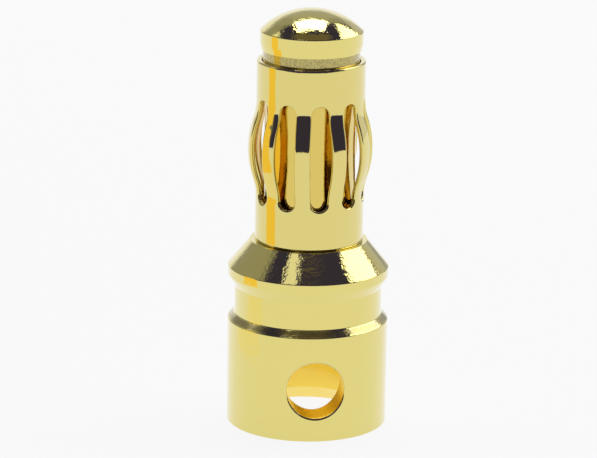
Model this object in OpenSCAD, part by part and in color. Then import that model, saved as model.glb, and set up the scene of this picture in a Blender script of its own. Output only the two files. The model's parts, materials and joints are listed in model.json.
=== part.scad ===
// Male bullet contact for a battery lead: a turned body with a solder cup,
// a retaining groove and a headed pin, and a rolled lantern spring around the pin.
// Millimetres. The axis is Z, the origin is the centre of the solder cup's rim,
// and the solder hole in the cup's wall faces -Y.

/* [Solder cup] */
// Outer diameter of the cup
cup_d = 5.5; // [5.3:0.05:6.5]
// Height of the cup's straight outer wall, from its rim to the groove's shoulder
cup_h = 3.65; // [3.4:0.05:6]
// Diameter of the blind bore that takes the wire
bore_d = 3.4; // [2.6:0.05:3.9]
// Depth of the bore to the start of the drill point
bore_depth = 4.4; // [3.2:0.05:4.8]
// Included angle of the drill point at the end of the bore
drill_angle = 118; // [90:1:150]
// Size of the 45 degree lead-in at the mouth of the bore
lead_in = 0.55; // [0.1:0.05:0.8]
// Size of the break on the outer edge of the rim
rim_break = 0.06; // [0.02:0.01:0.15]

/* [Solder hole] */
// Diameter of the hole in the cup's wall
hole_d = 1.94; // [1:0.02:2.4]
// Height of the hole's centre above the rim
hole_z = 1.8; // [1.5:0.05:2.2]

/* [Retaining groove] */
// Depth of the groove below the cup's outer wall
groove_depth = 0.225; // [0.1:0.025:0.4]
// Width of the groove's straight floor
groove_w = 0.96; // [0.6:0.02:2]

/* [Collar] */
// Outer diameter of the collar
collar_d = 5.5; // [5.3:0.05:6.5]
// Height of the taper under the collar
collar_taper_h = 0.38; // [0.1:0.02:0.8]
// Height of the collar's straight band
collar_band_h = 0.3; // [0.1:0.02:1]
// Height of the cone from the band up to the sleeve's seat
cone_h = 0.91; // [0.5:0.01:2]
// Width of the flat ledge that the seat leaves around the sleeve
seat_ledge = 0.15; // [0.05:0.01:0.65]

/* [Pin] */
// Diameter of the two lands that carry the sleeve
land_d = 3.3; // [2.8:0.05:3.35]
// Depth of the waist between the lands, behind the spring beams
waist_depth = 0.1; // [0.02:0.01:0.65]
// Distance by which the waist reaches past each end of the slots
waist_over = 0.12; // [0.05:0.01:0.3]
// Gap between the sleeve and the head, into which the sleeve lengthens when pressed
end_gap = 0.34; // [0.15:0.01:1]

/* [Head] */
// Distance by which the head stands out over the lands, to keep the sleeve on the pin
head_over = 0.1; // [0.05:0.01:0.3]
// Height of the head's rim, with the taper under it
head_rim_h = 0.66; // [0.45:0.02:1.2]
// Height of the taper under the head
head_taper_h = 0.25; // [0.1:0.01:0.4]
// Depth of that taper on the radius
head_taper_r = 0.05; // [0.02:0.01:0.06]
// Height of the dome above the rim
dome_h = 0.74; // [0.4:0.02:1.6]

/* [Spring sleeve] */
// Length of the sleeve
sleeve_len = 6.26; // [5:0.02:10]
// Thickness of the sheet that it is rolled from
sheet_t = 0.18; // [0.1:0.01:0.22]
// Clearance on the radius between the sleeve and the lands
sleeve_clear = 0.02; // [0.01:0.01:0.06]
// Number of slots, and of spring beams
slot_count = 10; // [6:1:12]
// Length of a slot
slot_len = 3.6; // [2.4:0.05:4]
// Width of a spring beam
beam_w = 0.54; // [0.3:0.02:0.6]
// Distance by which the beams bow outwards at their crown
bow_out = 0.28; // [0.1:0.01:0.5]
// Distance from each end of a slot to the bend where the bow starts
bow_inset = 0.12; // [0.02:0.02:0.4]
// Share of the bow's curve that the round bends at its two ends take, the crown has the rest
bend_share = 0.38; // [0.1:0.02:0.5]
// Distance by which the slots' middle sits above or below the sleeve's middle
slot_offset = 0.06; // [-0.4:0.02:0.4]
// Width of the seam where the rolled sheet meets
seam_w = 0.1; // [0.05:0.01:0.25]
// Turn of the sleeve on the pin, measured from the solder hole to a slot
sleeve_turn = 4; // [0:1:360]

/* [Hidden] */
$fn = 96;

// Colour of the gold plate
gold = [0.88, 0.80, 0.46];
// Overlap that lets a cutter pass cleanly through a face
pass = 0.5;

// Radii of the turned profile
cup_r = cup_d / 2;
groove_r = cup_r - groove_depth;
collar_r = collar_d / 2;
land_r = land_d / 2;
waist_r = land_r - waist_depth;
head_r = land_r + head_over;

// Radii of the sleeve, which stands on the lands, and of the seat under it
sleeve_in_r = land_r + sleeve_clear;
sleeve_r = sleeve_in_r + sheet_t;
seat_r = sleeve_r + seat_ledge;

// Heights along the axis, from the rim up
// The cup's shoulder falls to the groove at 45 degrees.
shoulder_z = cup_h + groove_depth;
taper_z = shoulder_z + groove_w;
band_z = taper_z + collar_taper_h;
cone_z = band_z + collar_band_h;
seat_z = cone_z + cone_h;
sleeve_top_z = seat_z + sleeve_len;
head_z = sleeve_top_z + end_gap;
dome_z = head_z + head_rim_h;

// Slots and beams of the sleeve
slot_mid_z = seat_z + sleeve_len / 2 + slot_offset;
slot_low_z = slot_mid_z - slot_len / 2;
slot_high_z = slot_mid_z + slot_len / 2;
pitch = 360 / slot_count;

// Curve of the bowed beams, on their outside: a bend that leaves the wall smoothly,
// the crown, and a like bend back. The radii of a bend and the crown add up to curve_r.
bow_half = slot_len / 2 - bow_inset;
curve_r = (bow_half * bow_half + bow_out * bow_out) / (2 * bow_out);
bend_r = curve_r * bend_share;
crown_r = curve_r - bend_r;
crown_x = sleeve_r + bow_out - crown_r;

// Sphere of the dome, through the rim's edge and the top
dome_r = (head_r * head_r + dome_h * dome_h) / (2 * dome_h);

// Waist of the pin, which runs out at 45 degrees at each end
waist_low_z = slot_low_z - waist_over;
waist_high_z = slot_high_z + waist_over;

// Half the width of a slot at distance x from the axis. Its sides are parallel to the
// middle planes of the two beams beside it, so that each beam keeps its width as it bows.
function slot_half(x) = x * tan(pitch / 2) - beam_w / (2 * cos(pitch / 2));

// Outline of the turned body from the rim up into the head, right of the axis
module shank_outline() {
    polygon([
        [0, 0],
        [cup_r - rim_break, 0],
        [cup_r, rim_break],
        [cup_r, cup_h],
        [groove_r, shoulder_z],
        [groove_r, taper_z],
        [collar_r, band_z],
        [collar_r, cone_z],
        [seat_r, seat_z],
        [land_r, seat_z],
        [land_r, waist_low_z - waist_depth],
        [waist_r, waist_low_z],
        [waist_r, waist_high_z],
        [land_r, waist_high_z + waist_depth],
        [land_r, head_z + head_taper_h],
        [0, head_z + head_taper_h]
    ]);
}

// Outline of the head: a rim with a taper under it, cut off by the circle of the dome
module head_outline() {
    intersection() {
        polygon([
            [0, head_z],
            [head_r - head_taper_r, head_z],
            [head_r, head_z + head_taper_h],
            [head_r, dome_z + dome_h],
            [0, dome_z + dome_h]
        ]);
        translate([0, dome_z + dome_h - dome_r])
            circle(r = dome_r);
    }
}

// Blind bore with its lead-in and drill point
module wire_bore() {
    bore_r = bore_d / 2;
    point_z = bore_depth + bore_r / tan(drill_angle / 2);
    rotate_extrude()
        polygon([
            [0, -pass],
            [bore_r + lead_in + pass, -pass],
            [bore_r, lead_in],
            [bore_r, bore_depth],
            [0, point_z]
        ]);
}

// Hole in the cup's wall that lets solder and air through, on the side named by -Y
module solder_hole() {
    translate([0, 0, hole_z])
        rotate([90, 0, 0])
            cylinder(d = hole_d, h = cup_r + pass);
}

// Body turned from one bar: solder cup, groove, collar, cone, pin and head
module turned_body() {
    color(gold)
        difference() {
            rotate_extrude() {
                shank_outline();
                head_outline();
            }
            wire_bore();
            solder_hole();
        }
}

// Outline of a bowed wall, out to radius r where it is straight. The surface lies depth
// under the sleeve's outside, so the crown's arc is smaller by depth and the bends' larger.
module bowed_outline(r, depth) {
    // Height from the slots' middle at which a bend passes into the crown
    meet_h = bow_half * (crown_r - depth) / curve_r;
    translate([0, seat_z])
        square([r, sleeve_len]);
    intersection() {
        translate([crown_x, slot_mid_z])
            circle(r = crown_r - depth);
        translate([r / 2, slot_mid_z - meet_h])
            square([r, 2 * meet_h]);
    }
    difference() {
        translate([r / 2, slot_mid_z - bow_half])
            square([r / 2 + bow_out, 2 * bow_half]);
        for (end = [-1, 1])
            translate([sleeve_r + bend_r, slot_mid_z + end * bow_half])
                circle(r = bend_r + depth);
        translate([r / 2, slot_mid_z - meet_h])
            square([r, 2 * meet_h]);
    }
}

// Wall of the sleeve before it is slotted
module sleeve_wall() {
    rotate_extrude()
        difference() {
            bowed_outline(sleeve_r, 0);
            bowed_outline(sleeve_in_r, sheet_t);
            translate([0, seat_z - pass])
                square([sleeve_in_r, sleeve_len + 2 * pass]);
        }
}

// Cutter for one slot, along +X, with round ends that widen outwards as its sides do
module slot_cutter() {
    near_x = sleeve_in_r - 2 * sheet_t;
    far_x = sleeve_r + bow_out + sheet_t;
    // The ends are round where they cut the sleeve's straight wall.
    end_r = slot_half(sleeve_r);
    for (z = [slot_low_z + end_r, slot_high_z - end_r])
        translate([near_x, 0, z])
            rotate([0, 90, 0])
                cylinder(r1 = slot_half(near_x), r2 = slot_half(far_x), h = far_x - near_x);
    translate([0, 0, slot_low_z + end_r])
        linear_extrude(height = slot_len - 2 * end_r)
            polygon([
                [near_x, -slot_half(near_x)],
                [far_x, -slot_half(far_x)],
                [far_x, slot_half(far_x)],
                [near_x, slot_half(near_x)]
            ]);
}

// Lantern spring rolled from slotted sheet, open along a seam at the back
module spring_sleeve() {
    color(gold)
        rotate([0, 0, sleeve_turn - 90])
            difference() {
                sleeve_wall();
                for (i = [0 : slot_count - 1])
                    rotate([0, 0, i * pitch])
                        slot_cutter();
                rotate([0, 0, floor(slot_count / 2) * pitch])
                    translate([0, -seam_w / 2, seat_z - pass])
                        cube([sleeve_r + bow_out + pass, seam_w, sleeve_len + 2 * pass]);
            }
}

turned_body();
spring_sleeve();
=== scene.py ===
"""A bullet contact for a battery lead, dressed for the studio.

Two gold-plated pieces: a turned brass body with a solder cup, a retaining groove and a headed pin, and the
slotted lantern spring that is rolled around the pin. Lengths in the size classes are millimetres; meshes are
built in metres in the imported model's own frame, with the axis on Z and the solder hole facing -Y.
"""

import json
import logging
import math
from collections.abc import Callable, Iterator
from contextlib import contextmanager
from dataclasses import dataclass
from enum import Enum

import bmesh
import bpy
from mathutils import Euler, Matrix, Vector

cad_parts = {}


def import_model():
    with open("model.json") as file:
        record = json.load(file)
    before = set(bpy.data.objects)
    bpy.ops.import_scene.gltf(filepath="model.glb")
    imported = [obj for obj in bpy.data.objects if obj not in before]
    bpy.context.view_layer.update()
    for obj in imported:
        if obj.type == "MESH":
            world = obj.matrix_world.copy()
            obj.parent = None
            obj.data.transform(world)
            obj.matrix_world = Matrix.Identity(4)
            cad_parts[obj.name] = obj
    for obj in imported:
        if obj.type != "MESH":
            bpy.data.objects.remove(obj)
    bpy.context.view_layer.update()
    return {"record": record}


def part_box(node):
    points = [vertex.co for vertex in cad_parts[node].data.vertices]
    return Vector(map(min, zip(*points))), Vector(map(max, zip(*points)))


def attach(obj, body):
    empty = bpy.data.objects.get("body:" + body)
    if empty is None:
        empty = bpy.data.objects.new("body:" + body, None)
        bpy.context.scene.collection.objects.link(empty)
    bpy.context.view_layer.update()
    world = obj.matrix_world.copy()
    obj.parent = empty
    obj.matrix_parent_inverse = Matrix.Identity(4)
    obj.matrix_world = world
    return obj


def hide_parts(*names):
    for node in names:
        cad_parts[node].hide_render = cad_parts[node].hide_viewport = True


MM = 0.001
CUT = 1e-9  # distance in metres within which a cut takes a vertex for its own
TOUCH = 1e-8  # distance in metres within which two coordinates are one
LOG = logging.getLogger("bullet_contact")


def linear(code: str) -> tuple[float, float, float, float]:
    """Turn an sRGB hex colour into linear RGBA.

    Args:
        code: The colour as "#RRGGBB".

    Returns:
        Red, green, blue and an alpha of 1, linear.
    """
    parts = [int(code[i : i + 2], 16) / 255 for i in (1, 3, 5)]
    return (*(c / 12.92 if c <= 0.04045 else ((c + 0.055) / 1.055) ** 2.4 for c in parts), 1.0)


def add_node(
    tree: bpy.types.NodeTree, kind: str, inputs: dict | None = None, **settings: object
) -> bpy.types.Node:
    """Add a node with its settings, its constants and the links that come into it.

    Args:
        tree: The node tree that gets the node.
        kind: The node's type name.
        inputs: For an input's name or number, a constant or the output socket that feeds it.
        settings: The node's own properties.

    Returns:
        The new node.
    """
    node = tree.nodes.new(kind)
    for name, value in settings.items():
        setattr(node, name, value)
    for key, value in (inputs or {}).items():
        if isinstance(value, bpy.types.NodeSocket):
            tree.links.new(value, node.inputs[key])
        else:
            node.inputs[key].default_value = value
    return node


def calc(tree: bpy.types.NodeTree, operation: str, *values: object) -> bpy.types.NodeSocket:
    """Add a Math node with this operation on constants or sockets, and return its output."""
    return add_node(tree, "ShaderNodeMath", dict(enumerate(values)), operation=operation).outputs[0]


def fade(tree: bpy.types.NodeTree, *ends: object, **settings: object) -> bpy.types.NodeSocket:
    """Add a Map Range node for a value, its two ends and what they turn into, and return its output."""
    return add_node(tree, "ShaderNodeMapRange", dict(enumerate(ends)), **settings).outputs[0]


def mix(tree: bpy.types.NodeTree, share: object, under: object, over: object) -> bpy.types.NodeSocket:
    """Add a Mix node that lays one colour over another by a share, and return its output."""
    return add_node(tree, "ShaderNodeMix", {0: share, 6: under, 7: over}, data_type="RGBA").outputs[2]


def bare_tree(owner: bpy.types.ID) -> bpy.types.NodeTree:
    """Switch a material or a world to nodes.

    Args:
        owner: The material or world.

    Returns:
        Its node tree, empty.
    """
    owner.use_nodes = True
    owner.node_tree.nodes.clear()
    return owner.node_tree


class Bench:
    """Steps of modelling that every piece shares."""

    @staticmethod
    @contextmanager
    def editing(piece: bpy.types.Object) -> Iterator[bpy.types.Object]:
        """Open one piece in edit mode, alone, and close it again.

        Args:
            piece: The mesh object to edit.

        Returns:
            The piece, while it is open.
        """
        Bench.pick(piece)
        bpy.ops.object.mode_set(mode="EDIT")
        bpy.ops.mesh.select_all(action="SELECT")
        yield piece
        bpy.ops.object.mode_set(mode="OBJECT")

    @staticmethod
    def pick(*pieces: bpy.types.Object) -> None:
        """Select these objects and nothing else.

        Args:
            pieces: The objects, of which the first becomes the active one.
        """
        bpy.ops.object.select_all(action="DESELECT")
        for piece in pieces:
            piece.select_set(True)
        bpy.context.view_layer.objects.active = pieces[0]

    @staticmethod
    def name(piece: bpy.types.Object, label: str) -> bpy.types.Object:
        """Give an object and its mesh one name, and return the object."""
        piece.name = piece.data.name = label
        return piece

    @staticmethod
    def settle(piece: bpy.types.Object) -> None:
        """Move a piece's place, turn and size into its mesh."""
        Bench.pick(piece)
        bpy.ops.object.transform_apply(location=True, rotation=True, scale=True)

    @staticmethod
    def select(piece: bpy.types.Object, test: Callable[[Vector], bool]) -> None:
        """Select the vertices whose place passes a test, and what lies between them.

        Args:
            piece: The object in edit mode.
            test: Says of a place, in metres, whether it is wanted.
        """
        bpy.ops.mesh.select_mode(type="VERT")
        bpy.ops.mesh.select_all(action="DESELECT")
        shape = bmesh.from_edit_mesh(piece.data)
        for vert in shape.verts:
            vert.select_set(test(vert.co))
        shape.select_flush(True)
        bmesh.update_edit_mesh(piece.data)

    @staticmethod
    def select_edges(piece: bpy.types.Object, test: Callable[[Vector, Vector], bool]) -> None:
        """Select the edges whose two ends pass a test.

        Args:
            piece: The object in edit mode.
            test: Says of an edge's two ends, in metres, whether it is wanted.
        """
        bpy.ops.mesh.select_mode(type="EDGE")
        bpy.ops.mesh.select_all(action="DESELECT")
        shape = bmesh.from_edit_mesh(piece.data)
        for edge in shape.edges:
            edge.select_set(test(edge.verts[0].co, edge.verts[1].co))
        bmesh.update_edit_mesh(piece.data)

    @staticmethod
    def move(piece: bpy.types.Object, rule: Callable[[Vector], Vector]) -> None:
        """Press every vertex to a new place.

        Args:
            piece: The object in edit mode.
            rule: Gives a vertex's new place from its old one.
        """
        shape = bmesh.from_edit_mesh(piece.data)
        for vert in shape.verts:
            vert.co = rule(vert.co)
        bmesh.update_edit_mesh(piece.data)

    @staticmethod
    def extrude(*step: float) -> None:
        """Extrude the selected edges by a step, in millimetres."""
        bpy.ops.mesh.extrude_edges_move(TRANSFORM_OT_translate={"value": [part * MM for part in step]})

    @staticmethod
    def face_out() -> None:
        """Turn every face of the piece in edit mode outwards, and leave all of it selected."""
        bpy.ops.mesh.select_all(action="SELECT")
        bpy.ops.mesh.normals_make_consistent(inside=False)

    @staticmethod
    def modify(piece: bpy.types.Object, kind: str, **settings: object) -> None:
        """Give a piece a modifier and apply it.

        Args:
            piece: The object to change.
            kind: The modifier's type.
            settings: Its properties.
        """
        Bench.pick(piece)
        modifier = piece.modifiers.new(kind.title(), kind)
        for name, value in settings.items():
            setattr(modifier, name, value)
        bpy.ops.object.modifier_apply(modifier=modifier.name)

    @staticmethod
    def close(piece: bpy.types.Object, sharp: float = 40.0) -> None:
        """Merge what meets, face the mesh outwards and shade it smooth.

        Args:
            piece: The object to finish.
            sharp: Angle in degrees from which an edge stays sharp.
        """
        with Bench.editing(piece):
            bpy.ops.mesh.remove_doubles(threshold=0.0005 * MM)
            Bench.face_out()
        Bench.pick(piece)
        bpy.ops.object.shade_smooth_by_angle(angle=math.radians(sharp))


@dataclass(frozen=True)
class Opening:
    """A round or long opening in a flat sheet that stands in the XZ plane, with the sheet around it.

    Rings of faces follow the opening's edge and pass into a rectangle, so a rolled sheet reflects cleanly.
    """

    radius: float  # radius of the opening, or of a slot's ends
    half_width: float  # half the sheet's width
    half_height: float  # half the sheet's height beyond the centre of each end
    columns: int  # faces along the sheet's top, an even number
    rows: int  # faces along the sheet's side, an even number
    collar: float = 0.07  # width of the ring that an edge break is cut into
    steps: int = 4  # rings from there to the sheet's edge
    growth: float = 0.1  # share by which each of those rings is wider, until it is pressed outwards
    half_straight: float = 0.0  # half the straight length of a slot
    straight_rows: int = 0  # faces along that length

    def _on_rectangle(self, angle: float) -> tuple[float, float]:
        """Find where a ring's point ends on the sheet's edge.

        Args:
            angle: The point's angle round the opening, in radians.

        Returns:
            X and Z on the rectangle, in millimetres.
        """
        quarter = (self.columns + self.rows) / 2
        turn = abs(math.remainder(angle, 2 * math.pi)) / (math.pi / 2)
        share = (turn if turn <= 1 else 2 - turn) * quarter
        if share <= self.rows / 2:
            x, z = self.half_width, self.half_height * share / (self.rows / 2)
        else:
            x, z = self.half_width * (quarter - share) / (self.columns / 2), self.half_height
        return math.copysign(x, math.cos(angle)) if x > 1e-9 else 0.0, math.copysign(z, math.sin(angle))

    def build(self) -> bpy.types.Object:
        """Draw the opening's edge, widen it ring by ring, and press the outer rings to the sheet's edge.

        Returns:
            The flat sheet, facing -Y, with its opening centred on the origin.
        """
        bpy.ops.object.select_all(action="DESELECT")
        bpy.ops.mesh.primitive_circle_add(
            vertices=2 * (self.columns + self.rows),
            radius=self.radius * MM,
            fill_type="NOTHING",
            rotation=(math.pi / 2, 0, 0),
        )
        sheet = bpy.context.object
        Bench.settle(sheet)
        collar_r = (self.radius + self.collar) * MM

        def press(place: Vector) -> Vector:
            """Move a point of a round ring towards the rectangle.

            Args:
                place: The point.

            Returns:
                Its new place.
            """
            reach = Vector((place.x, 0, place.z)).length
            blend = (reach / collar_r - 1) / self.growth / self.steps
            if blend < 1e-3:
                return place
            angle = math.atan2(place.z, place.x)
            near = Vector((math.cos(angle), 0, math.sin(angle))) * collar_r
            x, z = self._on_rectangle(angle)
            return near.lerp(Vector((x * MM, 0, z * MM)), blend)

        with Bench.editing(sheet):
            reach = self.radius * MM
            for step in range(self.steps + 1):
                wider = collar_r * (1 + self.growth * step)
                bpy.ops.mesh.extrude_edges_move()
                grow = wider / reach
                bpy.ops.transform.resize(value=(grow, 1, grow), center_override=(0, 0, 0))
                reach = wider
            Bench.move(sheet, press)
            if self.half_straight:
                self._stretch(sheet)
        return sheet

    def _stretch(self, sheet: bpy.types.Object) -> None:
        """Draw the two halves apart into a slot and cut its straight sides into rows.

        Args:
            sheet: The flat sheet in edit mode.
        """
        half = self.half_straight * MM
        middle = -0.001 * MM  # just off the row of vertices at the centre, for a row of its own
        bpy.ops.mesh.select_all(action="SELECT")
        bpy.ops.mesh.bisect(plane_co=(0, 0, middle), plane_no=(0, 0, 1), threshold=CUT)
        Bench.select(sheet, lambda p: p.z > middle / 2)
        bpy.ops.transform.translate(value=(0, 0, half))
        Bench.select(sheet, lambda p: p.z < middle / 2)
        bpy.ops.transform.translate(value=(0, 0, -half))
        Bench.select_edges(sheet, lambda a, b: abs(a.z - b.z) > 1.9 * half)
        bpy.ops.mesh.subdivide(number_cuts=self.straight_rows - 1)


@dataclass(frozen=True)
class Corner:
    """One corner of a turned outline: radius and height, and the round that the tool leaves on it."""

    r: float
    z: float
    round: float = 0.0


class Outline:
    """An outline that is turned on the lathe, with its corners rounded."""

    HOLD = 0.02  # distance from a round to the ring that keeps the flat beside it flat
    STEP = math.radians(11)  # largest turn between two faces of a round
    LEAST = 3  # least number of faces in a round

    def __init__(self, start: Corner) -> None:
        """Start the outline at a ring that is already there."""
        self.corners = [start]

    def to(self, r: float, z: float, round: float = 0.0) -> "Outline":
        """Lead the outline to a corner.

        Args:
            r: The corner's radius.
            z: Its height.
            round: The radius of its round.

        Returns:
            The outline, for the next corner.
        """
        self.corners.append(Corner(r, z, round))
        return self

    def arc(self, centre_z: float, radius: float, end_r: float, steps: int) -> "Outline":
        """Follow a circle centred on the axis up to a smaller radius.

        Args:
            centre_z: Height of the circle's centre.
            radius: The circle's radius.
            end_r: Radius from the axis at which the arc ends.
            steps: Number of faces.

        Returns:
            The outline, for the next corner.
        """
        first = math.asin(min(1.0, self.corners[-1].r / radius))
        last = math.asin(end_r / radius)
        for step in range(1, steps + 1):
            angle = first + (last - first) * step / steps
            self.corners.append(Corner(radius * math.sin(angle), centre_z + radius * math.cos(angle)))
        return self

    def rings(self) -> Iterator[tuple[float, float]]:
        """Give the rings that make the outline, its rounds and the flats between them.

        Returns:
            Radius and height of each ring after the first, in millimetres.
        """
        for before, corner, after in zip(self.corners, self.corners[1:], self.corners[2:]):
            yield from self._corner(before, corner, after)
        yield self.corners[-1].r, self.corners[-1].z

    def _corner(self, before: Corner, corner: Corner, after: Corner) -> Iterator[tuple[float, float]]:
        """Round one corner between its neighbours.

        Args:
            before: The corner before it.
            corner: The corner.
            after: The corner after it.

        Returns:
            Radius and height of each ring of the round, and of the rings that hold the flats beside it.
        """
        here = Vector((corner.r, corner.z))
        back = Vector((before.r, before.z)) - here
        on = Vector((after.r, after.z)) - here
        if not corner.round:
            yield corner.r, corner.z
            return
        turn = math.pi - back.angle(on)
        reach = corner.round * math.tan(turn / 2)
        back_u, on_u = back.normalized(), on.normalized()
        if back.length > reach + 3 * self.HOLD:
            yield tuple(here + back_u * (reach + self.HOLD))
        centre = here + (back_u + on_u).normalized() * (corner.round / math.cos(turn / 2))
        first = here + back_u * reach - centre
        last = here + on_u * reach - centre
        parts = max(self.LEAST, math.ceil(turn / self.STEP))
        for part in range(parts + 1):
            share = part / parts
            weight_a = math.sin((1 - share) * turn) / math.sin(turn)
            weight_b = math.sin(share * turn) / math.sin(turn)
            yield tuple(centre + first * weight_a + last * weight_b)
        if on.length > reach + 3 * self.HOLD:
            yield tuple(here + on_u * (reach + self.HOLD))


@dataclass(frozen=True)
class GoldPlate:
    """Gold plate on turned or rolled copper alloy: a mirror with an orange peel and faint tool marks.

    Where the faces look inwards, in the bore, in the drilled hole and between the beams, the plate is rougher
    and painted in a warmer colour, a painted reflection in place of the light's repeated reflections between
    the gold walls.
    The undercuts get painted shade in brown specks, and the pin a darker plate as painted shade where the
    beams shade it.
    """

    name: str
    plate: str  # the plate under white light
    painted_inner_reflection: str  # painted reflection: the plate's colour where it doesn't face outwards, in place of repeated reflections between gold walls
    deep_low: float  # height in millimetres from which that painted reflection shows
    deep_high: float  # height up to which it shows
    mark_height: float  # height of the tool marks, as bump strength
    peel_height: float  # height of the orange peel on turned faces, as bump strength
    wave_height: float  # height of the broad waves under it, as bump strength
    mark_spacing: float = 0.06  # distance between tool marks, in millimetres
    wall_peel: float = 0.35  # share of the peel that a cylinder has
    peel_slopes: tuple[float, float] = (0.2, 0.55)  # slopes where the peel starts to grow and is full
    peel_size: float = 0.13  # size of the peel, in millimetres
    wave_size: float = 0.7  # size of the broad waves under the peel
    roughness: float = 0.05
    deep_roughness: float = 0.15
    inward: float = 0.2  # how far a face may look outwards and still get the painted reflection, as the cosine to the radius
    pin: str = ""  # painted shade: a darker plate on the pin, where the beams shade it
    pin_r: float = 1.66  # radius up to which that painted shade reaches, in millimetres
    pin_blend: float = 0.02
    sealer: float = 1.0  # clear anti-tarnish dip over the gold, as coat weight
    undercut_shade_colour: str = "#8A7A48"  # painted shade: a brown in the undercuts, where shade falls
    undercuts: tuple[tuple[float, float], ...] = ()  # heights between which that painted shade sits
    undercut_roughness: float = 0.3
    speck_size: float = 0.06  # size of the specks that the painted shade is broken into, in millimetres
    speck_share: tuple[float, float] = (0.45, 0.8)  # least and most painted shade in an undercut
    blend: float = 0.015  # half the distance over which a finish passes into the next, in millimetres
    facing_blend: float = 0.15  # the same for the way that a face looks, as a cosine
    mark_depth: float = 0.01  # depths of the marks, the peel and the waves at full strength, in millimetres
    peel_depth: float = 0.02
    wave_depth: float = 0.1

    def _between(
        self, tree: bpy.types.NodeTree, height: bpy.types.NodeSocket, low: float, high: float
    ) -> tuple[bpy.types.NodeSocket, bpy.types.NodeSocket]:
        """Mark what lies between two heights.

        Args:
            tree: The material's node tree.
            height: The height of the point that is shaded.
            low: The lower height, in millimetres.
            high: The upper height.

        Returns:
            Two sockets whose product is 1 between the heights.
        """
        up = fade(tree, height, (low - self.blend) * MM, (low + self.blend) * MM)
        return up, fade(tree, height, (high + self.blend) * MM, (high - self.blend) * MM)

    def _painted_reflection_mask(self, tree: bpy.types.NodeTree, place: dict) -> bpy.types.NodeSocket:
        """Give 1 where the painted reflection goes: where the surface doesn't face outwards and lies between
        its heights.

        Args:
            tree: The material's node tree.
            place: The outputs of its Texture Coordinate node.

        Returns:
            The socket with the share of deep plate.
        """
        across = {0: place["Object"], 1: (1.0, 1.0, 0.0)}
        flat = add_node(tree, "ShaderNodeVectorMath", across, operation="MULTIPLY").outputs[0]
        radial = add_node(tree, "ShaderNodeVectorMath", {0: flat}, operation="NORMALIZE").outputs[0]
        both = {0: radial, 1: place["Normal"]}
        facing = add_node(tree, "ShaderNodeVectorMath", both, operation="DOT_PRODUCT").outputs["Value"]
        inward = fade(tree, facing, self.inward + self.facing_blend, self.inward - self.facing_blend)
        height = add_node(tree, "ShaderNodeSeparateXYZ", {0: place["Object"]}).outputs["Z"]
        up, down = self._between(tree, height, self.deep_low, self.deep_high)
        return calc(tree, "MULTIPLY", inward, calc(tree, "MULTIPLY", up, down))

    def _pin_shade_mask(self, tree: bpy.types.NodeTree, place: dict) -> bpy.types.NodeSocket:
        """Give 1 where the pin gets its painted shade, between the cup and its head.

        Args:
            tree: The material's node tree.
            place: The outputs of its Texture Coordinate node.

        Returns:
            The socket with the share of the pin's painted shade.
        """
        across = {0: place["Object"], 1: (1.0, 1.0, 0.0)}
        flat = add_node(tree, "ShaderNodeVectorMath", across, operation="MULTIPLY").outputs[0]
        from_axis = add_node(tree, "ShaderNodeVectorMath", {0: flat}, operation="LENGTH").outputs["Value"]
        pin = fade(tree, from_axis, (self.pin_r + self.pin_blend) * MM, self.pin_r * MM)
        height = add_node(tree, "ShaderNodeSeparateXYZ", {0: place["Object"]}).outputs["Z"]
        down = self._between(tree, height, self.deep_high, self.undercuts[-1][0])[1]
        return calc(tree, "MULTIPLY", pin, down)

    def _undercut_shade(self, tree: bpy.types.NodeTree, place: dict) -> bpy.types.NodeSocket:
        """Strew painted shade in brown specks over the undercuts.

        Args:
            tree: The material's node tree.
            place: The outputs of its Texture Coordinate node.

        Returns:
            The socket with the share of painted shade.
        """
        height = add_node(tree, "ShaderNodeSeparateXYZ", {0: place["Object"]}).outputs["Z"]
        bands = None
        for low, high in self.undercuts:
            up, down = self._between(tree, height, low, high)
            band = calc(tree, "MULTIPLY", up, down)
            bands = calc(tree, "MAXIMUM", bands, band) if bands else band
        grain = {"Vector": place["Object"], "Scale": 1 / (self.speck_size * MM), "Detail": 2.0}
        specks = add_node(tree, "ShaderNodeTexNoise", grain).outputs["Fac"]
        return calc(tree, "MULTIPLY", bands, fade(tree, specks, 0.35, 0.65, *self.speck_share))

    def _relief(self, tree: bpy.types.NodeTree, place: dict) -> bpy.types.NodeSocket:
        """Lay the tool marks, the broad waves and the peel over each other.

        Args:
            tree: The material's node tree.
            place: The outputs of its Texture Coordinate node.

        Returns:
            The socket with the surface's normal.
        """
        # The wave texture repeats every 2 pi / 20 units at a scale of 1.
        mark_scale = 2 * math.pi / (self.mark_spacing * MM) / 20
        lathe = {"Vector": place["Object"], "Scale": mark_scale, "Distortion": 1.5}
        marks = add_node(
            tree, "ShaderNodeTexWave", {**lathe, "Detail": 2.0, "Detail Scale": 2.0}, bands_direction="Z"
        ).outputs["Fac"]
        bump = {"Height": marks, "Strength": self.mark_height, "Distance": self.mark_depth * MM}
        relief = add_node(tree, "ShaderNodeBump", bump).outputs[0]
        upward = add_node(tree, "ShaderNodeSeparateXYZ", {0: place["Normal"]}).outputs["Z"]
        slope = calc(tree, "ABSOLUTE", upward)
        turned = fade(tree, slope, *self.peel_slopes, self.peel_height * self.wall_peel, self.peel_height)
        waves = (self.wave_size, 1.0, self.wave_depth, self.wave_height)
        peel = (self.peel_size, 2.0, self.peel_depth, turned)
        for size, detail, depth, height in (waves, peel):
            grain = {"Vector": place["Object"], "Scale": 1 / (size * MM), "Detail": detail}
            noise = add_node(tree, "ShaderNodeTexNoise", grain).outputs["Fac"]
            bump = {"Height": noise, "Strength": height, "Distance": depth * MM, "Normal": relief}
            relief = add_node(tree, "ShaderNodeBump", bump).outputs[0]
        return relief

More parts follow.
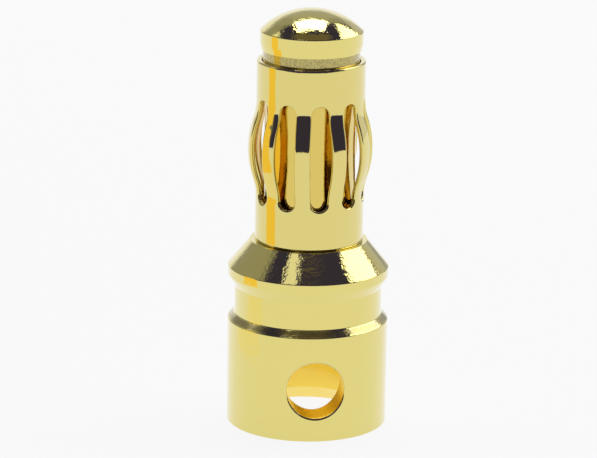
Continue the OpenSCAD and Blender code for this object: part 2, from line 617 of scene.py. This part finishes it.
    def make(self) -> bpy.types.Material:
        """Build the finish as a node material.

        Returns:
            The material.
        """
        material = bpy.data.materials.new(self.name)
        tree = bare_tree(material)
        place = add_node(tree, "ShaderNodeTexCoord").outputs
        inside = self._painted_reflection_mask(tree, place)
        # painted reflection: a warmer plate where faces look inwards, in place of the light's repeated
        # reflections between gold walls
        colour = mix(tree, inside, linear(self.plate), linear(self.painted_inner_reflection))
        dull = fade(tree, inside, 0.0, 1.0, self.roughness, self.deep_roughness)
        # painted shade on the pin, where the beams shade it
        if self.pin:
            colour = mix(tree, self._pin_shade_mask(tree, place), colour, linear(self.pin))
        # painted shade in the undercuts, in brown specks
        if self.undercuts:
            undercut_shade = self._undercut_shade(tree, place)
            colour = mix(tree, undercut_shade, colour, linear(self.undercut_shade_colour))
            dull = calc(tree, "MAXIMUM", dull, fade(tree, undercut_shade, 0.0, 1.0, 0.0, self.undercut_roughness))
        shader = add_node(
            tree,
            "ShaderNodeBsdfPrincipled",
            {
                "Base Color": colour,
                "Metallic": 1.0,
                "Roughness": dull,
                "Coat Weight": self.sealer,
                "Normal": self._relief(tree, place),
            },
        ).outputs[0]
        add_node(tree, "ShaderNodeOutputMaterial", {"Surface": shader})
        return material


@dataclass
class TurnedBody:
    """The brass body, turned from one bar: solder cup, groove, collar, cone, pin and head.

    The rounds at the end of the list are those that the tools and the polishing leave on its edges.
    """

    cup_r: float
    seat_z: float
    sleeve_top_z: float
    apex_z: float
    bore_r: float
    hole_r: float
    hole_z: float
    cup_h: float = 3.65
    lead_in: float = 0.55
    bore_depth: float = 4.4
    drill_angle: float = 118.0
    groove_depth: float = 0.225
    groove_w: float = 0.96
    collar_taper_h: float = 0.38
    collar_band_h: float = 0.3
    seat_r: float = 2.0
    land_r: float = 1.65
    waist_depth: float = 0.1
    waist_low_z: float = 7.695
    waist_high_z: float = 11.535
    end_gap: float = 0.34
    head_r: float = 1.75
    head_taper_r: float = 0.05
    head_taper_h: float = 0.25
    head_rim_h: float = 0.66
    rim_round: float = 0.06
    edge_round: float = 0.045
    hole_round: float = 0.075
    groove_round: float = 0.1
    seat_round: float = 0.03
    mouth_round: float = 0.04
    drill_round: float = 0.05
    under_head_round: float = 0.02
    head_taper_round: float = 0.08
    dome_edge_round: float = 0.05
    dome_hold: float = 0.03  # length of the rim's last ring, which keeps the rim straight up to the dome
    dome_steps: int = 40
    pole_r: float = 0.02  # radius of the last ring before the top
    wall_collar: float = 0.12  # width of the even ring round the hole, outside
    bore_collar: float = 0.13  # and inside
    hole_cuts: int = 6
    around: int = 240  # a ring is cut into at most 101 faces at a time, so each side of the hole takes 100
    hole_columns: int = 40
    bore_columns: int = 64
    bore_rows: int = 16

    @classmethod
    def from_frame(cls, record: dict) -> "TurnedBody":
        """Take the body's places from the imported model.

        Args:
            record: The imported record.

        Returns:
            The body's sizes.
        """
        low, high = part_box("turned_body")
        sleeve_low, sleeve_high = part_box("spring_sleeve")
        mounts = {mount["name"]: mount for mount in record["mounts"]}
        return cls(
            cup_r=high.x / MM,
            seat_z=sleeve_low.z / MM,
            sleeve_top_z=sleeve_high.z / MM,
            apex_z=high.z / MM,
            bore_r=mounts["wire_cup"]["dims"]["r_mm"],
            hole_r=mounts["solder_hole"]["dims"]["r_mm"],
            hole_z=mounts["solder_hole"]["pos_m"][2] / MM,
        )

    def _band(self, radius: float, low: float, high: float, opening: Opening) -> bpy.types.Object:
        """Roll a flat band with its opening into a closed ring.

        Args:
            radius: Radius of the ring.
            low: Height of its lower edge.
            high: Height of its upper edge.
            opening: The sheet with the opening, whose width is a whole number of the ring's faces.

        Returns:
            The ring, with the opening towards -Y.
        """
        band = opening.build()
        half = math.pi * radius
        step = 2 * half / self.around

        def drilled(place: Vector) -> Vector:
            """Lay the drilled edge out flat, so that it is round once the band is rolled.

            Args:
                place: A point of the flat band.

            Returns:
                Its new place.
            """
            if math.hypot(place.x, place.z) > (opening.radius + 0.001) * MM:
                return place
            return Vector((radius * MM * math.asin(place.x / (radius * MM)), 0, place.z))

        with Bench.editing(band):
            Bench.move(band, drilled)
            for side in (-1, 1):
                edge = side * opening.half_width * MM
                Bench.select_edges(band, lambda a, b: max(abs(a.x - edge), abs(b.x - edge)) < TOUCH)
                span = half - opening.half_width
                Bench.extrude(side * span, 0, 0)
                Bench.select_edges(band, lambda a, b: abs(a.x - b.x) > 0.9 * span * MM)
                bpy.ops.mesh.subdivide(number_cuts=round(span / step) - 1)
            bpy.ops.mesh.select_all(action="SELECT")
            bpy.ops.transform.translate(value=(0, 0, (low + high) / 2 * MM))
        Bench.modify(band, "SIMPLE_DEFORM", deform_method="BEND", deform_axis="Z", angle=2 * math.pi)
        with Bench.editing(band):
            bpy.ops.transform.translate(value=(0, -radius * MM, 0))
            bpy.ops.mesh.remove_doubles(threshold=0.002 * MM)
        return band

    def _turn(self, body: bpy.types.Object, outline: Outline, pole: bool) -> None:
        """Turn an outline from a ring that is there.

        Args:
            body: The body in edit mode.
            outline: The outline, whose first corner is on the ring.
            pole: True if the outline ends on the axis.
        """
        start = outline.corners[0]

        def on_ring(place: Vector) -> bool:
            """Tell whether a place is on the ring that the outline starts from.

            Args:
                place: A vertex's place.

            Returns:
                True if it is.
            """
            near = abs(place.z - start.z * MM) < 0.001 * MM
            return near and abs(math.hypot(place.x, place.y) - start.r * MM) < 0.003 * MM

        Bench.select_edges(body, lambda a, b: on_ring(a) and on_ring(b))
        r, z = start.r, start.z
        for next_r, next_z in outline.rings():
            Bench.extrude(0, 0, next_z - z)
            next_r = max(next_r, 1e-4)  # a ring on the axis keeps a size until its pole is merged
            bpy.ops.transform.resize(value=(next_r / r, next_r / r, 1), center_override=(0, 0, next_z * MM))
            r, z = next_r, next_z
        if pole:
            bpy.ops.mesh.merge(type="CENTER")

    def _outer_outline(self, start_z: float) -> Outline:
        """Draw the outside from the cup's wall up to the top of the dome.

        Args:
            start_z: Height of the ring on the cup's wall that it starts from.

        Returns:
            The outline.
        """
        shoulder_z = self.cup_h + self.groove_depth
        taper_z = shoulder_z + self.groove_w
        band_z = taper_z + self.collar_taper_h
        cone_z = band_z + self.collar_band_h
        head_z = self.sleeve_top_z + self.end_gap
        dome_z = head_z + self.head_rim_h
        dome_h = self.apex_z - dome_z
        dome_r = (self.head_r**2 + dome_h**2) / (2 * dome_h)
        groove_r = self.cup_r - self.groove_depth
        waist_r = self.land_r - self.waist_depth
        outline = Outline(Corner(self.cup_r, start_z))
        outline.to(self.cup_r, self.cup_h, self.edge_round).to(groove_r, shoulder_z, self.edge_round)
        outline.to(groove_r, taper_z, self.groove_round).to(self.cup_r, band_z, self.groove_round)
        outline.to(self.cup_r, cone_z, self.edge_round).to(self.seat_r, self.seat_z, self.seat_round)
        outline.to(self.land_r, self.seat_z).to(self.land_r, self.waist_low_z - self.waist_depth)
        outline.to(waist_r, self.waist_low_z).to(waist_r, self.waist_high_z)
        outline.to(self.land_r, self.waist_high_z + self.waist_depth).to(self.land_r, head_z)
        outline.to(self.head_r - self.head_taper_r, head_z, self.under_head_round)
        outline.to(self.head_r, head_z + self.head_taper_h, self.head_taper_round)
        outline.to(self.head_r, dome_z - self.dome_hold).to(self.head_r, dome_z, self.dome_edge_round)
        return outline.arc(self.apex_z - dome_r, dome_r, self.pole_r, self.dome_steps).to(0.0, self.apex_z)

    def build(self) -> bpy.types.Object:
        """Make the body: two bands with the drilled hole, joined and turned on at each end.

        Returns:
            The body.
        """
        half = self.hole_columns / 2 * 2 * math.pi * self.cup_r / self.around
        hole = Opening(self.hole_r, half, half, self.hole_columns, self.hole_columns, self.wall_collar)
        low, high = self.hole_z - half, self.hole_z + half
        wall = self._band(self.cup_r, low, high, hole)
        bore_half = self.bore_columns / 2 * 2 * math.pi * self.bore_r / self.around
        bore_low, bore_high = self.lead_in, 2 * self.hole_z - self.lead_in
        bore_half_h = (bore_high - bore_low) / 2
        cross = Opening(
            self.hole_r, bore_half, bore_half_h, self.bore_columns, self.bore_rows, self.bore_collar
        )
        bore = self._band(self.bore_r, bore_low, bore_high, cross)
        Bench.pick(wall, bore)
        bpy.ops.object.join()
        body = Bench.name(wall, "turned_brass_body")
        edge = (self.hole_r + 0.002) * MM

        def on_hole(place: Vector) -> bool:
            """Tell whether a place is on the drilled hole's edge."""
            return place.y < 0 and math.hypot(place.x, place.z - self.hole_z * MM) < edge

        with Bench.editing(body):
            Bench.select_edges(body, lambda a, b: on_hole(a) and on_hole(b))
            bpy.ops.mesh.bridge_edge_loops(number_cuts=self.hole_cuts, interpolation="LINEAR")
            point_z = self.bore_depth + self.bore_r / math.tan(math.radians(self.drill_angle / 2))
            self._turn(body, self._outer_outline(high), pole=True)
            rim = Outline(Corner(self.cup_r, low)).to(self.cup_r, 0.0, self.rim_round)
            rim.to(self.bore_r + self.lead_in, 0.0, self.mouth_round).to(self.bore_r, self.lead_in)
            self._turn(body, rim, pole=False)
            drilled = Outline(Corner(self.bore_r, bore_high))
            drilled.to(self.bore_r, self.bore_depth, self.drill_round).to(0.0, point_z)
            self._turn(body, drilled, pole=True)
            near_bore = (self.bore_r + 0.1) * MM
            seam = self.lead_in * MM
            Bench.select(body, lambda p: abs(p.z - seam) < 0.01 * MM and p.xy.length < near_bore)
            bpy.ops.mesh.remove_doubles(threshold=0.01 * MM)

            def on_mouth(place: Vector) -> bool:
                """Tell whether a place is on the hole's outer edge."""
                return on_hole(place) and abs(math.hypot(place.x, place.y) - self.cup_r * MM) < 0.002 * MM

            Bench.select_edges(body, lambda a, b: on_mouth(a) and on_mouth(b))
            bpy.ops.mesh.bevel(offset=self.hole_round * MM, segments=4, affect="EDGES", clamp_overlap=False)
        Bench.close(body)
        return body


@dataclass
class SpringSleeve:
    """The lantern spring: flat sheet with ten slots, bowed between them and rolled round the pin."""

    low_z: float
    high_z: float
    inner_r: float = 1.67
    sheet_t: float = 0.18
    slots: int = 10
    slot_len: float = 3.6
    slot_mid_z: float = 9.615
    beam_w: float = 0.54
    bow_out: float = 0.28
    bow_inset: float = 0.12
    bend_round: float = 1.97
    seam_w: float = 0.1
    turn: float = 4.0
    edge_round: float = 0.058
    round_steps: int = 4
    columns: int = 24
    slot_rows: int = 48  # faces along a slot's straight sides
    ring_rows: int = 6  # faces from the slots to each end of the sheet

    @classmethod
    def from_frame(cls) -> "SpringSleeve":
        """Take the sleeve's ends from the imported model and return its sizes."""
        low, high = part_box("spring_sleeve")
        return cls(low_z=low.z / MM, high_z=high.z / MM)

    @property
    def outer_r(self) -> float:
        """Radius of the sleeve's outside."""
        return self.inner_r + self.sheet_t

    @property
    def pitch(self) -> float:
        """Distance between two slots along the flat sheet's outside."""
        return 2 * math.pi * self.outer_r / self.slots

    def _bow(self, height: float) -> float:
        """Work out how far a beam stands out.

        Args:
            height: Height above the slots' middle.

        Returns:
            The distance outwards.
        """
        half = self.slot_len / 2 - self.bow_inset
        angle = 2 * math.atan(self.bow_out / half)
        crown = half / math.sin(angle) - self.bend_round
        height = abs(height)
        if height >= half:
            return 0.0
        if height > crown * math.sin(angle):
            return self.bend_round - math.sqrt(self.bend_round**2 - (half - height) ** 2)
        return self.bow_out - crown + math.sqrt(crown**2 - height**2)

    def build(self) -> bpy.types.Object:
        """Punch the sheet, break its edges, bow the beams and roll the sheet round the pin.

        Returns:
            The sleeve.
        """
        half_pitch = self.pitch / 2
        beam_arc = 2 * self.outer_r * math.asin(self.beam_w / 2 / self.outer_r)
        slot_r = half_pitch - beam_arc / 2
        cell = Opening(
            slot_r,
            half_pitch,
            half_pitch,
            self.columns,
            self.columns,
            half_straight=self.slot_len / 2 - slot_r,
            straight_rows=self.slot_rows,
        ).build()
        top, bottom = self.high_z - self.slot_mid_z, self.low_z - self.slot_mid_z
        edge = self.slot_len / 2 - slot_r + half_pitch
        with Bench.editing(cell):
            for start, end in ((edge, top), (-edge, bottom)):
                at = start * MM
                Bench.select_edges(cell, lambda a, b: max(abs(a.z - at), abs(b.z - at)) < TOUCH)
                for _ in range(self.ring_rows):
                    Bench.extrude(0, 0, (end - start) / self.ring_rows)
            bpy.ops.mesh.select_all(action="SELECT")
            bpy.ops.transform.translate(value=(-self.slots / 2 * self.pitch * MM, 0, 0))
            Bench.face_out()
        Bench.modify(
            cell,
            "ARRAY",
            count=self.slots + 1,
            use_relative_offset=False,
            use_constant_offset=True,
            constant_offset_displace=(self.pitch * MM, 0, 0),
            use_merge_vertices=True,
            merge_threshold=0.002 * MM,
        )
        sleeve = Bench.name(cell, "rolled_spring_sleeve")
        with Bench.editing(sleeve):
            bpy.ops.mesh.extrude_region_move(TRANSFORM_OT_translate={"value": (0, self.sheet_t * MM, 0)})
            Bench.face_out()
        Bench.modify(
            sleeve,
            "BEVEL",
            width=self.edge_round * MM,
            segments=self.round_steps,
            limit_method="ANGLE",
            angle_limit=math.radians(60),
            use_clamp_overlap=False,
        )
        end = (self.slots / 2 * self.pitch - self.seam_w / 2) * MM
        with Bench.editing(sleeve):
            for side in (1, -1):
                bpy.ops.mesh.select_all(action="SELECT")
                bpy.ops.mesh.bisect(
                    plane_co=(side * end, 0, 0),
                    plane_no=(side, 0, 0),
                    clear_outer=True,
                    use_fill=True,
                    threshold=CUT,
                )

        def press(place: Vector) -> Vector:
            """Bow one point of a beam outwards, and keep the beam's width for when it is rolled.

            Args:
                place: A point of the flat sheet.

            Returns:
                Its new place.
            """
            out = self._bow(place.z / MM)
            if not out:
                return place
            beam = (math.floor(place.x / MM / self.pitch) + 0.5) * self.pitch * MM
            narrower = self.outer_r / (self.outer_r + out)
            return Vector((beam + (place.x - beam) * narrower, place.y - out * MM, place.z))

        with Bench.editing(sleeve):
            Bench.move(sleeve, press)
            bpy.ops.mesh.select_all(action="SELECT")
            bpy.ops.transform.translate(value=(0, 0, self.slot_mid_z * MM))
        Bench.modify(
            sleeve,
            "SIMPLE_DEFORM",
            deform_method="BEND",
            deform_axis="Z",
            angle=2 * math.pi - self.seam_w / self.outer_r,
        )
        with Bench.editing(sleeve):
            bpy.ops.transform.translate(value=(0, -self.outer_r * MM, 0))
            turn = math.radians(-self.turn)
            bpy.ops.transform.rotate(value=turn, orient_axis="Z", center_override=(0, 0, 0))
        Bench.close(sleeve)
        return sleeve


class Side(Enum):
    """Where a softbox stands round the object, as the direction its middle is seen in."""

    OVERHEAD = (-177.0, 70.0)
    RIGHT_BACK = (114.0, 39.0)
    LEFT_FRONT = (-38.0, 59.0)


@dataclass(frozen=True)
class Panel:
    """A panel of the room, by the direction it is seen in from the object; all sizes are degrees."""

    azimuth: float  # of its middle, from the camera's side and positive to the right
    elevation: float
    width: float
    height: float
    light: str
    soft: float = 4.0  # width of its soft edge


@dataclass(frozen=True)
class Studio:
    """A pale floor, a pale surround, softboxes and the camera. Lengths are millimetres and angles degrees."""

    floor_radius: float = 165.0
    azimuth: float = -6.9  # of the camera, from the side that the solder hole faces
    elevation: float = 15.0
    distance: float = 119.4
    target_z: float = 7.165
    lens: float = 211.0
    roll: float = 0.9
    shift_x: float = -0.0176  # shift of the lens, as a share of the picture's width
    shift_y: float = -0.0201
    paper_glow: float = 0.93  # share of the paper that glows; the rest is matt and takes the shadow
    softbox_reach: float = 400.0  # distance from the object to a softbox
    card_azimuth: float = -86.0
    card_reach: float = 19.0  # distance from the axis to the standing card
    card_start: float = 11.0  # and to the near edge of the lying one
    paper: str = "#FCFCFC"
    room: str = "#393660"  # the dark of the room over the camera, a cool grey once the gold has warmed it
    panels: tuple[Panel, ...] = (
        Panel(0.0, 78.0, 200.0, 24.0, "#6C6459", 10.0),  # the ceiling
        Panel(-176.0, 27.0, 72.0, 68.0, "#A2A2A2", 8.0),  # the wall behind
        Panel(180.0, 42.0, 40.0, 34.0, "#B4B4B4", 6.0),  # its middle, under the softbox
        Panel(-113.0, 21.0, 60.0, 56.0, "#9E9E9E", 12.0),  # the wall on the left
        Panel(-172.0, 7.0, 52.0, 34.0, "#F8F8F8", 10.0),  # the sweep behind the object
        Panel(105.0, 6.0, 64.0, 30.0, "#E4E4E4"),  # the sweep on the right
        Panel(147.0, 18.0, 30.0, 22.0, "#C4C4C4", 6.0),  # the stand of the softbox on the right
        Panel(-117.0, 44.0, 14.0, 9.0, "#FFFFFF", 2.0),  # a small card on the left
    )

    def floor(self) -> bpy.types.Object:
        """Lay the paper that the contact stands on.

        Returns:
            The paper.
        """
        bpy.ops.object.select_all(action="DESELECT")
        bpy.ops.mesh.primitive_circle_add(vertices=128, radius=self.floor_radius * MM, fill_type="NGON")
        paper = Bench.name(bpy.context.object, "paper_floor")
        material = bpy.data.materials.new("matt white paper")
        tree = bare_tree(material)
        matt = add_node(tree, "ShaderNodeBsdfDiffuse", {"Color": linear(self.paper)}).outputs[0]
        glow = add_node(tree, "ShaderNodeEmission", {"Color": linear(self.paper), "Strength": 1.0}).outputs[0]
        path = add_node(tree, "ShaderNodeLightPath").outputs
        shown = path["Is Camera Ray"]
        for ray in ("Is Glossy Ray", "Is Transmission Ray"):
            shown = calc(tree, "MAXIMUM", shown, path[ray])
        share = calc(tree, "MULTIPLY", shown, self.paper_glow)
        mixed = add_node(tree, "ShaderNodeMixShader", {0: share, 1: matt, 2: glow}).outputs[0]
        add_node(tree, "ShaderNodeOutputMaterial", {"Surface": mixed})
        paper.data.materials.append(material)
        return paper

    def _panel_share(
        self, tree: bpy.types.NodeTree, direction: bpy.types.NodeSocket, panel: Panel
    ) -> bpy.types.NodeSocket:
        """Give 1 in the directions that a panel covers.

        Args:
            tree: The world's node tree.
            direction: The direction that is looked in.
            panel: The panel.

        Returns:
            The socket with the panel's share.
        """
        turned = add_node(
            tree,
            "ShaderNodeVectorRotate",
            {"Vector": direction, "Angle": -math.radians(self.azimuth + panel.azimuth)},
            rotation_type="Z_AXIS",
        ).outputs[0]
        parts = add_node(tree, "ShaderNodeSeparateXYZ", {0: turned}).outputs
        across = calc(tree, "ARCTAN2", parts["X"], calc(tree, "MULTIPLY", parts["Y"], -1.0))
        above = calc(tree, "SUBTRACT", calc(tree, "ARCSINE", parts["Z"]), math.radians(panel.elevation))
        shares = []
        for angle, size in ((across, panel.width), (above, panel.height)):
            outer, inner = (math.radians((size + side * panel.soft) / 2) for side in (1, -1))
            away = calc(tree, "ABSOLUTE", angle)
            shares.append(fade(tree, away, outer, inner, interpolation_type="SMOOTHSTEP"))
        return calc(tree, "MULTIPLY", *shares)

    def surround(self) -> None:
        """Light the room: dark over the camera, with pale panels behind and beside the object."""
        world = bpy.data.worlds.new("studio")
        bpy.context.scene.world = world
        tree = bare_tree(world)
        path = add_node(tree, "ShaderNodeLightPath").outputs
        direction = add_node(tree, "ShaderNodeTexCoord").outputs["Generated"]
        room = None
        for panel in self.panels:
            share = self._panel_share(tree, direction, panel)
            room = mix(tree, share, room or linear(self.room), linear(panel.light))
        seen = mix(tree, path["Is Camera Ray"], room, linear(self.paper))
        glow = add_node(tree, "ShaderNodeBackground", {"Color": seen, "Strength": 1.0}).outputs[0]
        add_node(tree, "ShaderNodeOutputWorld", {"Surface": glow})

    def _direction(self, azimuth: float, elevation: float) -> Vector:
        """Turn an azimuth from the camera's side and an elevation, in degrees, into a direction."""
        a, e = math.radians(self.azimuth + azimuth), math.radians(elevation)
        return Vector((math.sin(a) * math.cos(e), -math.cos(a) * math.cos(e), math.sin(e)))

    def softbox(self, side: Side, width: float, height: float, radiance: float) -> None:
        """Hang a softbox that faces the object.

        Args:
            side: Where it stands.
            width: Its width in degrees, as the object sees it.
            height: Its height in degrees.
            radiance: Its brightness, where 1 is white.
        """
        reach = self.softbox_reach * MM
        towards = self._direction(*side.value)
        bpy.ops.object.light_add(type="AREA", location=towards * reach + Vector((0, 0, self.target_z * MM)))
        lamp = bpy.context.object
        lamp.name = f"softbox_{side.name.lower()}"
        lamp.rotation_euler = towards.to_track_quat("Z", "Y").to_euler()
        lamp.data.shape = "RECTANGLE"
        lamp.data.size = 2 * reach * math.tan(math.radians(width / 2))
        lamp.data.size_y = 2 * reach * math.tan(math.radians(height / 2))
        lamp.data.energy = radiance * math.pi * lamp.data.size * lamp.data.size_y
        lamp.visible_camera = False

    def bore_bounce(self, radius: float, height: float, radiance: float) -> None:
        """Light the bore from its blind end, in place of the many reflections between its walls.

        Args:
            radius: Radius of the lamp, in millimetres.
            height: Its height.
            radiance: Its brightness, where 1 is white.
        """
        bpy.ops.object.light_add(type="AREA", location=(0, 0, height * MM))
        lamp = bpy.context.object
        lamp.name = "bore_bounce"
        lamp.data.shape = "DISK"
        lamp.data.size = 2 * radius * MM
        lamp.data.energy = radiance * math.pi * math.pi * (radius * MM) ** 2
        lamp.visible_camera = False

    def _card(
        self, name: str, foot: float, top: float, height: float, light: tuple[float, float, float]
    ) -> None:
        """Stand or lay a glowing card at the object's left, out of the picture, seen only in reflections in
        place of a lit brass sheet.

        Args:
            name: Its name.
            foot: Width of its lower edge, in millimetres.
            top: Width of its upper edge.
            height: Its height; a card of no height lies on the floor, in front of the standing one.
            light: The light that it glows with, linear, where 1 is white.
        """
        towards = self._direction(self.card_azimuth, 0.0)
        bpy.ops.object.select_all(action="DESELECT")
        bpy.ops.mesh.primitive_plane_add(size=1)
        card = Bench.name(bpy.context.object, name)
        length = height or self.card_reach - self.card_start
        with Bench.editing(card):
            Bench.move(
                card, lambda p: Vector((p.x * (foot if p.y < 0 else top), (p.y + 0.5) * length, 0)) * MM
            )
        turn = math.atan2(towards.x, -towards.y)
        card.rotation_euler = (math.pi / 2, 0, turn) if height else (0, 0, turn + math.pi)
        reach, lift = (self.card_reach, 0.0) if height else (self.card_start, 0.02)
        card.location = (towards * reach + Vector((0, 0, lift))) * MM
        Bench.settle(card)
        card.visible_camera = card.visible_shadow = card.visible_diffuse = False
        material = bpy.data.materials.new("brass glow seen in reflections")
        tree = bare_tree(material)
        glow = add_node(tree, "ShaderNodeEmission", {"Color": (*light, 1.0), "Strength": 1.0}).outputs[0]
        add_node(tree, "ShaderNodeOutputMaterial", {"Surface": glow})
        card.data.materials.append(material)

    def camera(self) -> None:
        """Set the camera at the angle the product is shown from."""
        towards = self._direction(0, self.elevation)
        data = bpy.data.cameras.new("camera")
        camera = bpy.data.objects.new("camera", data)
        bpy.context.scene.collection.objects.link(camera)
        camera.location = Vector((0, 0, self.target_z * MM)) + towards * self.distance * MM
        roll = Euler((0, 0, math.radians(self.roll))).to_matrix()
        camera.rotation_euler = (towards.to_track_quat("Z", "Y").to_matrix() @ roll).to_euler()
        data.lens = self.lens
        data.sensor_width = 36.0
        data.shift_x, data.shift_y = self.shift_x, self.shift_y
        data.clip_start, data.clip_end = 1 * MM, 5.0
        bpy.context.scene.camera = camera

    def build(self) -> None:
        """Set the floor, the light and the camera."""
        self.floor()
        self.surround()
        self.softbox(Side.OVERHEAD, 32, 26, 4.0)
        self.softbox(Side.RIGHT_BACK, 44, 30, 2.5)
        self.softbox(Side.LEFT_FRONT, 15, 13, 0.9)
        self.bore_bounce(1.6, 4.3, 0.8)
        # cards that glow with their own light, seen only in reflections, in place of lit brass sheets
        self._card("standing_brass_card", 9.0, 4.5, 14.4, (1.1, 0.77, 0.15))
        self._card("lying_brass_card", 9.0, 9.0, 0.0, (1.0, 0.94, 0.74))
        self.camera()
        bpy.context.scene.view_settings.view_transform = "Standard"


def main() -> None:
    """Build the contact's two pieces and the studio, in order."""
    logging.basicConfig(level=logging.INFO, format="%(name)s: %(message)s")
    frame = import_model()
    body = TurnedBody.from_frame(frame["record"]).build()
    body.data.materials.append(
        GoldPlate(
            "gold plate on turned brass",
            plate="#E4D67C",
            # painted reflection in the bore and the drilled hole
            painted_inner_reflection="#FFE052",
            deep_low=-1.0,
            deep_high=3.62,
            mark_height=0.02,
            peel_height=0.4,
            wave_height=0.14,
            deep_roughness=0.35,
            # painted shade on the pin under the beams
            pin="#DDC45C",
            # painted shade on the shoulder and under the head
            undercuts=((3.69, 3.84), (12.7, 13.02)),  # on the cup's shoulder and under the head
        ).make()
    )
    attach(body, "root")
    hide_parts("turned_body")
    LOG.info("%s: %d faces", body.name, len(body.data.polygons))
    sleeve = SpringSleeve.from_frame().build()
    sleeve.data.materials.append(
        GoldPlate(
            "gold plate on rolled copper",
            plate="#E0D17A",
            # painted reflection and shade on the sheet's inside, between the beams
            painted_inner_reflection="#E2BC5E",
            deep_low=6.5,
            deep_high=12.6,
            mark_height=0.0,
            peel_height=0.12,
            wave_height=0.1,
            inward=-0.4,
        ).make()
    )
    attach(sleeve, "root")
    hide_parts("spring_sleeve")
    LOG.info("%s: %d faces", sleeve.name, len(sleeve.data.polygons))
    Studio().build()


if __name__ == "__main__":
    main()
